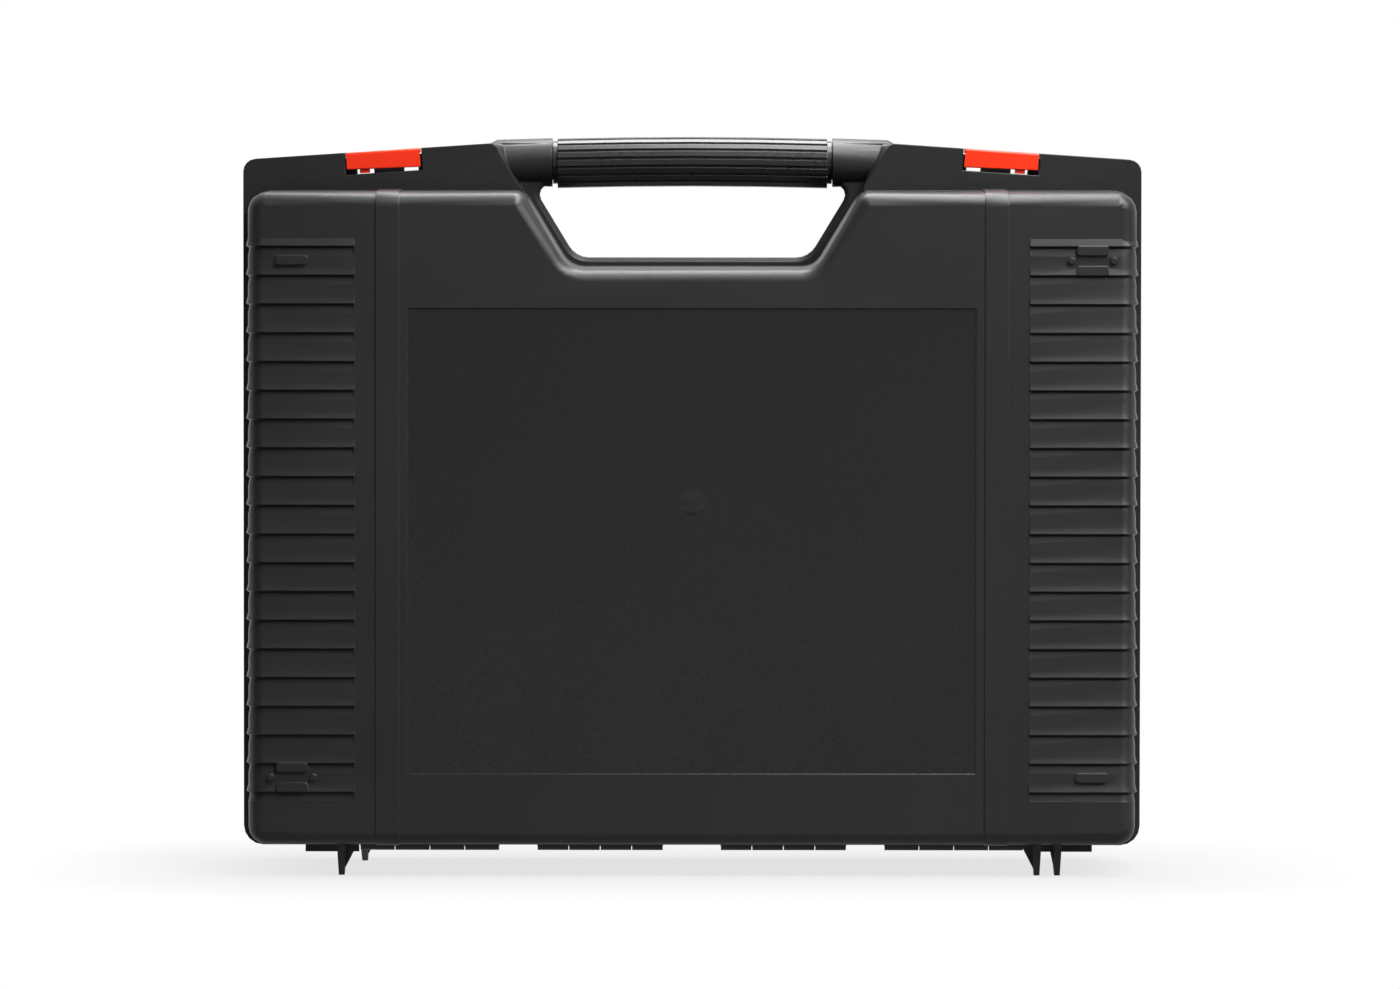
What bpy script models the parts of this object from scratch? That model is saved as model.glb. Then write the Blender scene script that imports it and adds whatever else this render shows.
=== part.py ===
"""Hard equipment case: two moulded half shells on a bottom hinge, a split ribbed grip and two snap latches.

Metres, +Z up. X runs along the handle, Y is the depth, and the halves meet at Y = 0.
The front half lies at -Y and is the lid. Z = 0 is the plane that the feet stand on.
"""

import math

import bmesh
import bpy
from mathutils import Matrix, Vector

# Shells
CASE_WIDTH = 0.390
HALF_DEPTH = 0.055
BODY_HEIGHT = 0.2821
WALL = 0.0025
BODY_CORNER = 0.0085
DRAFT = 0.0006
FACE_FILLET = 0.0055
INNER_FILLET = 0.003
PARTING_GAP = 0.0003

# Rim and the ledge above the body
RIM_STEP = 0.0033
RIM_UNDER = 0.0026
RIM_DEPTH = 0.013
LEDGE_HEIGHT = 0.0133
LEDGE_SLOPE = math.radians(3.8)
LEDGE_CORNER = 0.0055
LEDGE_BEVEL = 0.0045
LEDGE_END_CORNER = 0.005
LEDGE_FLOOR = 0.0008

# Hand hole and the frame round it
HOLE_SHOULDER = 0.009
HOLE_DROP = 0.0292
HOLE_SLANT = math.radians(31.2)
HOLE_LOWER_CORNER = 0.010
HOLE_UPPER_CORNER = 0.0044
HOLE_FRAME = 0.0037
HOLE_LIP = 0.0018
FRAME_DEPTH = 0.006
NOTCH_TOP_CORNER = 0.007

# Grip
GRIP_RADIUS = 0.0108
GRIP_LENGTH = 0.1172
GRIP_CORE = 0.0075
HAND_ROOM = 0.0305
GRIP_ARCH = 0.0008
FLUTES = 9
FLUTE_DEPTH = 0.0008
FLUTE_LAND = 0.62
NECK_WIDTH = 0.002
NECK_STEP = 0.0015
SOCKET_RADIUS = 0.0106
SOCKET_LENGTH = 0.024
SOCKET_TAPER = 0.0007
SOCKET_RUNOUT = 0.009
SEAT_GAP = 0.0003

# Outer ribs, straps and label panel
RIB_COUNT = 20
RIB_BELOW = 0.0236
RIB_ABOVE = 0.0234
RIB_REACH = 0.046
RIB_HEIGHT = 0.0009
RIB_RISE = 0.003
RIB_FALL = 0.001
RIB_GROOVE = 0.0006
RIB_RETURN = 0.0035
RIB_LEVEL = 0.00005
STRAP_INSET = 0.0639
STRAP_WIDTH = 0.010
STRAP_HEIGHT = 0.0005
LABEL_MARGIN = 0.0039
LABEL_BELOW = 0.0314
LABEL_ABOVE = 0.0502
LABEL_DEPTH = 0.0005

# Stacking keys
KEY_INSET = 0.0228
KEY_LENGTH = 0.0137
KEY_WIDTH = 0.0040
KEY_HEIGHT = 0.0012
KEY_SPREAD = 0.0043
KEY_DOT = 0.0016
KEY_DOT_SPREAD = 0.0091

# Hinge
HINGE_DROP = 0.0028
HINGE_RADIUS = 0.0032
HINGE_PIN = 0.0015
PIN_CLEARANCE = 0.00015
KNUCKLE_GAP = 0.0004
KNUCKLES = 4
HINGE_START = 0.0125
HINGE_SPACING = 0.0165
HINGE_INSET = 0.0502
HINGE_INNER_SHARE = 0.475
FRONT_SKIRT_INSET = 0.0263
REAR_SKIRT_INSET = 0.0202
SKIRT_DEPTH = 0.0012
SKIRT_DROP = 0.0066

# Feet
FOOT_HEIGHT = 0.0135
FOOT_ROOT = 0.0036
FOOT_POINT = 0.0024
FOOT_SETBACK = 0.006
FOOT_LENGTH = 0.036
FOOT_TIP_BACK = 0.008
FOOT_TIP = 0.007
GUSSET_THICKNESS = 0.0025
SINGLE_FOOT_INSET = 0.0436
FRONT_PAIR_INSET = 0.0458
REAR_PAIR_INSET = 0.051
PAIR_SPACING = 0.0088
GUSSET_WIDE = 0.0052
GUSSET_NARROW = 0.0018

# Latches
LATCH_INSET = 0.0605
LATCH_WIDTH = 0.032
LATCH_SIDE_GAP = 0.00075
LATCH_PLATE = 0.0021
LATCH_DROP = 0.0074
LATCH_TAPER = 0.0008
LATCH_WINDOW = 0.0022
LATCH_PIN = 0.0012
LATCH_BARREL = 0.003
LATCH_PIVOT_Y = 0.0095
LATCH_PIVOT_DROP = 0.0033
LATCH_LUG = 0.0045
LATCH_LUG_DEPTH = 0.0095
LATCH_BOSS = 0.0022
LATCH_LEG_INNER = 0.0061
LATCH_LEG_WIDTH = 0.0044
LATCH_LEG_DEPTH = 0.0018
CATCH_WIDTH = 0.013
CATCH_SHIFT = -0.0022
CATCH_DEPTH = 0.0065

# Facets
CORNER_STEPS = 4
FILLET_STEPS = 3
ROUND_SIDES = 12
HALF_ROUND_STEPS = 12
SMOOTH_ANGLE = math.radians(38)
LEAST_RADIUS = 0.0004
FLATNESS = 0.000001
OVERLAP = 0.001

# Places worked out from the sizes above
BODY_BOTTOM = FOOT_HEIGHT
BODY_TOP = BODY_BOTTOM + BODY_HEIGHT
CASE_HALF = CASE_WIDTH / 2
BODY_HALF = CASE_HALF - RIM_STEP
LATCH_X = CASE_HALF - LATCH_INSET
STRAP_X = CASE_HALF - STRAP_INSET
LABEL_HALF = STRAP_X - STRAP_WIDTH / 2 - LABEL_MARGIN
KEY_X = CASE_HALF - KEY_INSET
RIM_BOTTOM = BODY_BOTTOM - RIM_UNDER
HALF_GAP = PARTING_GAP / 2
FACE_Y = -HALF_DEPTH
HOLE_Z = BODY_TOP - HOLE_DROP
GRIP_Z = HOLE_Z + HAND_ROOM + GRIP_RADIUS
HOLE_TOP = GRIP_Z - SOCKET_RADIUS + OVERLAP
ABOVE = GRIP_Z + 2 * GRIP_RADIUS
SLANT = math.tan(HOLE_SLANT)
NECK_END = GRIP_LENGTH / 2 + NECK_WIDTH
SOCKET_END = NECK_END + SEAT_GAP
HOLE_HALF = SOCKET_END + HOLE_SHOULDER - (HOLE_TOP - HOLE_Z) * SLANT
HINGE_Z = BODY_BOTTOM - HINGE_DROP
RIB_PITCH = (BODY_HEIGHT - RIB_BELOW - RIB_ABOVE) / (RIB_COUNT - 1)
LATCH_NOTCH = LATCH_WIDTH + 2 * LATCH_SIDE_GAP
LATCH_FLOOR = LATCH_DROP + LATCH_WINDOW
PLATE_FRONT = -RIM_DEPTH
PLATE_BACK = PLATE_FRONT + LATCH_PLATE

BLACK = (0.022, 0.022, 0.023, 1.0)
GRIP_BLACK = (0.018, 0.018, 0.019, 1.0)
RED = (0.91, 0.055, 0.02, 1.0)
STEEL = (0.55, 0.55, 0.56, 1.0)


def clear_scene():
    for item in list(bpy.data.objects):
        bpy.data.objects.remove(item, do_unlink=True)


def new_collection(name, parent):
    collection = bpy.data.collections.new(name)
    parent.children.link(collection)
    return collection


def material(name, colour, roughness, metallic=0.0):
    made = bpy.data.materials.new(name)
    made.use_nodes = True
    shader = made.node_tree.nodes["Principled BSDF"]
    shader.inputs["Base Color"].default_value = colour
    shader.inputs["Roughness"].default_value = roughness
    shader.inputs["Metallic"].default_value = metallic
    return made


# Outlines


def outline(corners, steps=CORNER_STEPS):
    """Points round (a, b, radius) corners: a sharp corner is one point, a round one an arc."""
    points = []
    for i, (a, b, radius) in enumerate(corners):
        here = Vector((a, b))
        if radius == 0:
            points.append(here)
            continue
        back = (Vector(corners[i - 1][:2]) - here).normalized()
        ahead = (Vector(corners[(i + 1) % len(corners)][:2]) - here).normalized()
        half = back.angle(ahead) / 2
        centre = here + (back + ahead).normalized() * radius / math.sin(half)
        first = here + back * radius / math.tan(half) - centre
        last = here + ahead * radius / math.tan(half) - centre
        sweep = first.angle_signed(last)
        for step in range(steps + 1):
            turn = Matrix.Rotation(-sweep * step / steps, 2)
            points.append(centre + turn @ first)
    return points


def inset(corners, distance):
    """Counter-clockwise corners moved inwards, with outer radii shrinking and inner radii growing."""
    moved = []
    for i, (a, b, radius) in enumerate(corners):
        here = Vector((a, b))
        before = (here - Vector(corners[i - 1][:2])).normalized()
        after = (Vector(corners[(i + 1) % len(corners)][:2]) - here).normalized()
        normal_before = Vector((-before.y, before.x))
        normal_after = Vector((-after.y, after.x))
        shift = (normal_before + normal_after) * distance / (1 + normal_before.dot(normal_after))
        if radius > 0:
            outer_corner = before.x * after.y - before.y * after.x > 0
            radius = max(radius - distance if outer_corner else radius + distance, LEAST_RADIUS)
        moved.append((a + shift.x, b + shift.y, radius))
    return moved


def mirrored(corners):
    return [(-a, b, radius) for a, b, radius in reversed(corners)]


def across_y(corners, y):
    return [(point.x, y, point.y) for point in outline(corners)]


def across_x(corners, x):
    return [(x, point.x, point.y) for point in outline(corners)]


def half_disc(x, radius):
    """Half circle on the -Y side of the grip's axis, closed just past the parting plane."""
    angles = [math.pi / 2 + math.pi * i / HALF_ROUND_STEPS for i in range(HALF_ROUND_STEPS + 1)]
    arc = [(x, radius * math.cos(a), GRIP_Z + radius * math.sin(a)) for a in angles]
    return arc + [(x, OVERLAP, GRIP_Z - radius), (x, OVERLAP, GRIP_Z + radius)]


# Solids


def new_object(name, fill, collection):
    """Object whose mesh is made by fill(bm), with its faces turned outwards."""
    bm = bmesh.new()
    fill(bm)
    bmesh.ops.recalc_face_normals(bm, faces=bm.faces)
    mesh = bpy.data.meshes.new(name)
    bm.to_mesh(mesh)
    bm.free()
    mesh.shade_smooth()
    mesh.set_sharp_from_angle(angle=SMOOTH_ANGLE)
    made = bpy.data.objects.new(name, mesh)
    collection.objects.link(made)
    return made


def is_twisted(corners):
    """True where four corners don't lie in one plane."""
    first, second, third, fourth = (corner.co for corner in corners)
    square = (second - first).cross(third - first)
    return square.length > 0 and abs(square.normalized().dot(fourth - first)) > FLATNESS


def loft(name, sections, collection):
    """Closed solid through loops of points that all have the same count, with twisted sides split."""

    def fill(bm):
        rings = [[bm.verts.new(point) for point in section] for section in sections]
        for ring, following in zip(rings, rings[1:]):
            for i, corner in enumerate(ring):
                j = (i + 1) % len(ring)
                side = (corner, ring[j], following[j], following[i])
                if is_twisted(side):
                    bm.faces.new(side[:3])
                    bm.faces.new((side[0], side[2], side[3]))
                else:
                    bm.faces.new(side)
        bm.faces.new(rings[0])
        bm.faces.new(rings[-1])

    return new_object(name, fill, collection)


def box(name, low, high, collection):
    def fill(bm):
        middle = (Vector(low) + Vector(high)) / 2
        size = Vector(high) - Vector(low)
        bmesh.ops.create_cube(bm, size=1, matrix=Matrix.Translation(middle) @ Matrix.Diagonal((*size, 1)))

    return new_object(name, fill, collection)


def cylinder(name, radius, length, place, collection, sides=ROUND_SIDES):
    """Cylinder about the Z axis of the frame place, centred on its origin."""

    def fill(bm):
        bmesh.ops.create_cone(
            bm, cap_ends=True, segments=sides, radius1=radius, radius2=radius, depth=length, matrix=place
        )

    return new_object(name, fill, collection)


def along_x(x, y, z):
    """Frame whose Z axis lies along world X."""
    return Matrix.Translation((x, y, z)) @ Matrix.Rotation(math.pi / 2, 4, "Y")


def along_y(x, y, z):
    return Matrix.Translation((x, y, z)) @ Matrix.Rotation(math.pi / 2, 4, "X")


def combine(target, operation, tools):
    """Live Boolean of target with every object in a collection of hidden tools."""
    for tool in tools.objects:
        tool.hide_render = True
        tool.display_type = "WIRE"
    modifier = target.modifiers.new(tools.name, "BOOLEAN")
    modifier.operation = operation
    modifier.operand_type = "COLLECTION"
    modifier.collection = tools
    modifier.solver = "EXACT"


def hang_on(empty, piece):
    piece.parent = empty
    piece.matrix_parent_inverse = empty.matrix_world.inverted()


def joint_empty(name, place, collection):
    empty = bpy.data.objects.new(name, None)
    empty.matrix_world = place
    empty.empty_display_size = HINGE_RADIUS
    collection.objects.link(empty)
    return empty


# Shared places on a half shell


def slant_x(z, offset=0.0):
    """Half width of the hand hole's slanted side at a height, moved out by offset square to the side."""
    return HOLE_HALF + (z - HOLE_Z) * SLANT + offset / math.cos(HOLE_SLANT)


def ledge_top(x):
    """Height of the rim's top edge, which rises towards the handle."""
    return BODY_TOP + LEDGE_HEIGHT + (CASE_HALF - abs(x)) * math.tan(LEDGE_SLOPE)


def handle_end(offset=HOLE_FRAME):
    """Half width where the ledge's top edge meets the hole's slanted side, moved out by offset."""
    rise = math.tan(LEDGE_SLOPE)
    at_side = ledge_top(CASE_HALF) + rise * CASE_HALF
    start = slant_x(0.0, offset)
    return (start + SLANT * at_side) / (1 + SLANT * rise)


def draft_at(y):
    """How far the body's walls have drawn in at a depth."""
    return DRAFT * max(0.0, (-y - RIM_DEPTH) / (HALF_DEPTH - RIM_DEPTH))


def rib_height(index):
    return BODY_BOTTOM + RIB_BELOW + index * RIB_PITCH


def body_corners():
    """Outline of the moulded body seen from the front, notched round the hand hole."""
    notch_z = HOLE_Z - HOLE_FRAME
    right = [
        (BODY_HALF, BODY_BOTTOM, BODY_CORNER),
        (BODY_HALF, BODY_TOP, BODY_CORNER),
        (slant_x(BODY_TOP, HOLE_FRAME), BODY_TOP, NOTCH_TOP_CORNER),
        (slant_x(notch_z, HOLE_FRAME), notch_z, HOLE_LOWER_CORNER),
    ]
    return right + mirrored(right)


def rim_corners():
    right = [
        (CASE_HALF, RIM_BOTTOM, BODY_CORNER),
        (CASE_HALF, ledge_top(CASE_HALF), LEDGE_CORNER),
        (handle_end(), ledge_top(handle_end()), 0),
    ]
    return right + mirrored(right)


def hole_corners():
    """Hand hole, open upwards between the sockets."""
    inner = SOCKET_END + HOLE_LIP
    left = [
        (-inner, ABOVE, 0),
        (-inner, HOLE_TOP, 0),
        (-slant_x(HOLE_TOP), HOLE_TOP, HOLE_UPPER_CORNER),
        (-HOLE_HALF, HOLE_Z, HOLE_LOWER_CORNER),
    ]
    return left + mirrored(left)


def frame_corners(bevel):
    """Recess of the handle frame, cut a little into the body's wall; bevel draws its upper ends in."""
    out = HOLE_FRAME + WALL / 3
    low = HOLE_Z - out
    end = handle_end(out)
    far = end + 3 * LEDGE_END_CORNER
    left = [
        (-far, ABOVE, 0),
        (-far, ledge_top(far) + SEAT_GAP, 0),
        (-end + bevel, ledge_top(end) + SEAT_GAP, LEDGE_END_CORNER),
        (-slant_x(BODY_TOP, out), BODY_TOP, 0),
        (-slant_x(low, out), low, 0),
    ]
    return left + mirrored(left)


def pocket_corners():
    """Hollow behind the ledge on the +X side, stepping under the latch notch."""
    floor = BODY_TOP + LEDGE_FLOOR
    outer = CASE_HALF - WALL
    notch_in = LATCH_X - LATCH_NOTCH / 2 - WALL
    notch_out = LATCH_X + LATCH_NOTCH / 2 + WALL
    below = LATCH_FLOOR + WALL
    inner_top = handle_end() + WALL + SLANT * WALL
    return [
        (slant_x(floor, HOLE_FRAME + WALL), floor, 0),
        (outer, floor, 0),
        (outer, ledge_top(outer) - WALL, 0),
        (notch_out, ledge_top(notch_out) - WALL, 0),
        (notch_out, ledge_top(notch_out) - below, 0),
        (notch_in, ledge_top(notch_in) - below, 0),
        (notch_in, ledge_top(notch_in) - WALL, 0),
        (inner_top, ledge_top(inner_top) - WALL, 0),
    ]


def hinge_groups():
    end = CASE_HALF - HINGE_INSET
    lengths = end - HINGE_START - HINGE_SPACING
    inner = (HINGE_START, HINGE_START + lengths * HINGE_INNER_SHARE)
    outer = (inner[1] + HINGE_SPACING, end)
    return [(-outer[1], -outer[0]), (-inner[1], -inner[0]), inner, outer]


def knuckle_spans(first):
    """X spans of every second knuckle of each group, starting with number first."""
    spans = []
    for start, end in hinge_groups():
        pitch = (end - start) / KNUCKLES
        spans += [(start + i * pitch, start + (i + 1) * pitch) for i in range(first, KNUCKLES, 2)]
    return spans


def latch_frame(side):
    """Frame on the rim's top edge at a latch, with its X axis along the sloping edge."""
    place = Matrix.Translation((side * LATCH_X, 0, ledge_top(LATCH_X)))
    return place @ Matrix.Rotation(side * LEDGE_SLOPE, 4, "Y")


def latch_pivot(side):
    return latch_frame(side) @ Matrix.Translation((0, LATCH_PIVOT_Y, -LATCH_PIVOT_DROP))


# Pieces of a half shell, in the frame of the front half


def body_sections(thickness, fillet, start):
    """Sections of the body, thickness inside its outer skin, from the rim to the filleted face."""
    corners = body_corners()
    face = FACE_Y + thickness
    turn = face + fillet
    foot_of_draft = -RIM_DEPTH + OVERLAP / 3
    rows = [(start, thickness), (foot_of_draft, thickness), (turn, thickness + draft_at(turn))]
    for step in range(1, FILLET_STEPS + 1):
        angle = math.pi / 2 * step / FILLET_STEPS
        drawn = thickness + draft_at(turn) + fillet * (1 - math.cos(angle))
        rows.append((turn - fillet * math.sin(angle), drawn))
    return [across_y(inset(corners, distance), y) for y, distance in rows]


def skin_path(corner, length, height):
    """Path over the body's skin from its face to the rim, as (across, depth) points, raised by height."""
    fillet = FACE_FILLET + RIB_HEIGHT
    turn = FACE_Y + fillet
    edge = corner - draft_at(turn)
    path = [(edge - length, FACE_Y - height)]
    for step in range(FILLET_STEPS + 1):
        angle = math.pi / 2 * step / FILLET_STEPS
        reach = fillet + height
        path.append((edge - fillet + reach * math.sin(angle), turn - reach * math.cos(angle)))
    return path + [(corner + height, -RIM_DEPTH + OVERLAP)]


def rib_panel(name, side, collection):
    """Recess in the body's skin that the ribs of one side fill, a little smaller than they are."""
    depth = RIB_GROOVE + WALL / 8
    low = rib_height(0) - RIB_FALL - RIB_RETURN + OVERLAP / 2
    high = rib_height(RIB_COUNT - 1) + RIB_RISE - OVERLAP / 2
    path = skin_path(BODY_HALF, RIB_REACH - OVERLAP / 2, -depth)
    rim = -RIM_DEPTH - OVERLAP / 2
    path[-1] = (path[-1][0], rim)
    clear = CASE_HALF + OVERLAP
    path += [(clear, rim), (clear, FACE_Y - OVERLAP), (path[0][0], FACE_Y - OVERLAP)]
    return loft(name, [[(side * x, y, z) for x, y in path] for z in (low, high)], collection)


def rib_bank(name, side, collection):
    """All the ribs of one side as one loft: going down, a slow rise, a quick fall and a slow return."""
    sections = []
    core = skin_path(BODY_HALF, RIB_REACH, -WALL / 2)

    def section(z, height):
        loop = skin_path(BODY_HALF, RIB_REACH, height) + core[::-1]
        return [(side * x, y, z) for x, y in loop]

    for index in range(RIB_COUNT):
        z = rib_height(index)
        sections.append(section(z - RIB_FALL - RIB_RETURN, RIB_LEVEL))
        sections.append(section(z - RIB_FALL, -RIB_GROOVE))
        sections.append(section(z, RIB_HEIGHT))
        sections.append(section(z + RIB_RISE, RIB_LEVEL))
    return loft(name, sections, collection)


def strap(name, x, collection):
    """Raised band over the top, the face and the bottom of the body."""
    middle = (BODY_TOP + BODY_BOTTOM) / 2
    loop = []
    for height, order in ((STRAP_HEIGHT, 1), (-WALL / 2, -1)):
        half = skin_path(BODY_HEIGHT / 2, BODY_HEIGHT / 2, height)[1:]
        top = [(y, middle + z) for z, y in half[::-1]]
        bottom = [(y, middle - z) for z, y in half]
        loop += (top + bottom)[::order]
    ends = (x - STRAP_WIDTH / 2, x + STRAP_WIDTH / 2)
    return loft(name, [[(end, y, z) for y, z in loop] for end in ends], collection)


def key_bar(name, x, z, collection):
    half = KEY_LENGTH / 2
    wide = KEY_WIDTH / 2
    corners = [
        (x - half, z - wide, KEY_WIDTH / 3),
        (x + half, z - wide, KEY_WIDTH / 3),
        (x + half, z + wide, KEY_WIDTH / 3),
        (x - half, z + wide, KEY_WIDTH / 3),
    ]
    rows = [across_y(corners, FACE_Y + WALL / 2), across_y(corners, FACE_Y - KEY_HEIGHT)]
    return loft(name, rows, collection)


def stacking_keys(name, collection):
    """A single key and a double key at the top, and the other way round at the bottom."""
    top = rib_height(RIB_COUNT - 1) - RIB_PITCH / 2
    bottom = rib_height(0) + RIB_PITCH / 2
    for x, z in ((-KEY_X, top), (KEY_X, bottom)):
        key_bar(f"{name}_key_single", x, z, collection)
    for x, z in ((KEY_X, top), (-KEY_X, bottom)):
        for offset in (-KEY_SPREAD, KEY_SPREAD):
            key_bar(f"{name}_key_double", x, z + offset, collection)
        for offset in (-KEY_DOT_SPREAD, KEY_DOT_SPREAD):
            length = KEY_HEIGHT + WALL / 2
            place = along_y(x + offset, FACE_Y + WALL / 2 - length / 2, z)
            cylinder(f"{name}_key_dot", KEY_DOT, length, place, collection, ROUND_SIDES // 2)


def socket(name, side, collection):
    """Half-round seat of the grip's end, running out into the ledge."""
    taper_end = SOCKET_END + SOCKET_LENGTH
    rows = [
        (SOCKET_END, SOCKET_RADIUS),
        (taper_end, SOCKET_RADIUS - SOCKET_TAPER),
        (taper_end + SOCKET_RUNOUT, SOCKET_RADIUS / 2),
    ]
    return loft(name, [half_disc(side * x, radius) for x, radius in rows], collection)


def foot(name, x, gusset, collection):
    """Tapered fin under the body's bottom wall, with a gusset towards the middle of the case."""
    front = FACE_Y + FOOT_SETBACK
    tip = front + FOOT_TIP_BACK

    def root(y):
        return BODY_BOTTOM + draft_at(y) + WALL / 2

    def ring(low, high, half, height):
        spots = ((-half, low), (half, low), (half, high), (-half, high))
        return [(x + across, y, height(y)) for across, y in spots]

    top = ring(front, front + FOOT_LENGTH, FOOT_ROOT / 2, root)
    bottom = ring(tip, tip + FOOT_TIP, FOOT_POINT / 2, lambda y: 0.0)
    loft(f"{name}_fin", [top, bottom], collection)
    inward = -math.copysign(1, x)
    reach = x + inward * (FOOT_ROOT / 2 + gusset)
    middle = tip + FOOT_TIP / 2
    web = [
        (x, FOOT_HEIGHT / 6, 0),
        (x + inward * FOOT_POINT / 2, FOOT_HEIGHT / 6, 0),
        (reach, BODY_BOTTOM, 0),
        (reach, root(middle), 0),
        (x, root(middle), 0),
    ]
    ends = (middle - GUSSET_THICKNESS / 2, middle + GUSSET_THICKNESS / 2)
    loft(f"{name}_gusset", [across_y(web, y) for y in ends], collection)


def latch_notch(name, side, collection):
    made = box(
        name,
        (-LATCH_NOTCH / 2, -RIM_DEPTH - OVERLAP, -LATCH_FLOOR),
        (LATCH_NOTCH / 2, OVERLAP, 2 * LATCH_FLOOR),
        collection,
    )
    made.data.transform(latch_frame(side))


def catch_block(name, side, collection):
    """Block on the notch's sill that the closed latch plate stands in front of."""
    centre = side * CATCH_SHIFT
    made = box(
        name,
        (centre - CATCH_WIDTH / 2, PLATE_BACK + SEAT_GAP, -LATCH_FLOOR - WALL / 2),
        (centre + CATCH_WIDTH / 2, PLATE_BACK + SEAT_GAP + CATCH_DEPTH, -LATCH_PIVOT_DROP - SEAT_GAP),
        collection,
    )
    made.data.transform(latch_frame(side))


def pin_lug(name, side, notch, width, collection):
    """Block at an end of the rear notch that carries the latch pin: wide at the outer end."""
    inner = LATCH_NOTCH / 2 - width
    ends = sorted((side * inner, side * (LATCH_NOTCH / 2 + WALL / 2)))
    rear = -RIM_DEPTH + SEAT_GAP
    made = box(
        name,
        (ends[0], rear, -LATCH_FLOOR - WALL / 2),
        (ends[1], rear + LATCH_LUG_DEPTH, -LATCH_PLATE - SEAT_GAP),
        collection,
    )
    made.data.transform(latch_frame(notch))


def knuckle(name, span, collection):
    """Barrel round the hinge axis with a web up into its own half's rim."""
    last = math.acos(-PARTING_GAP / HINGE_RADIUS)
    sweep = math.pi + last
    turns = [math.pi + sweep * i / ROUND_SIDES for i in range(ROUND_SIDES + 1)]
    profile = [(HINGE_RADIUS * math.cos(a), HINGE_Z + HINGE_RADIUS * math.sin(a), 0) for a in turns]
    profile.append((-PARTING_GAP, RIM_BOTTOM + OVERLAP, 0))
    profile.append((-HINGE_RADIUS, RIM_BOTTOM + OVERLAP, 0))
    ends = (span[0] + KNUCKLE_GAP / 2, span[1] - KNUCKLE_GAP / 2)
    loft(name, [across_x(profile, x) for x in ends], collection)


def half_spots(pair, skirt, other_skirt):
    """Distances from the middle of the case of one half's paired feet, its skirt and the other's skirt."""
    inner = CASE_HALF - HINGE_INSET + KNUCKLE_GAP
    return {
        "pair": CASE_HALF - pair,
        "skirt": (inner, CASE_HALF - skirt),
        "other_skirt": (inner, CASE_HALF - other_skirt),
    }


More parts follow.
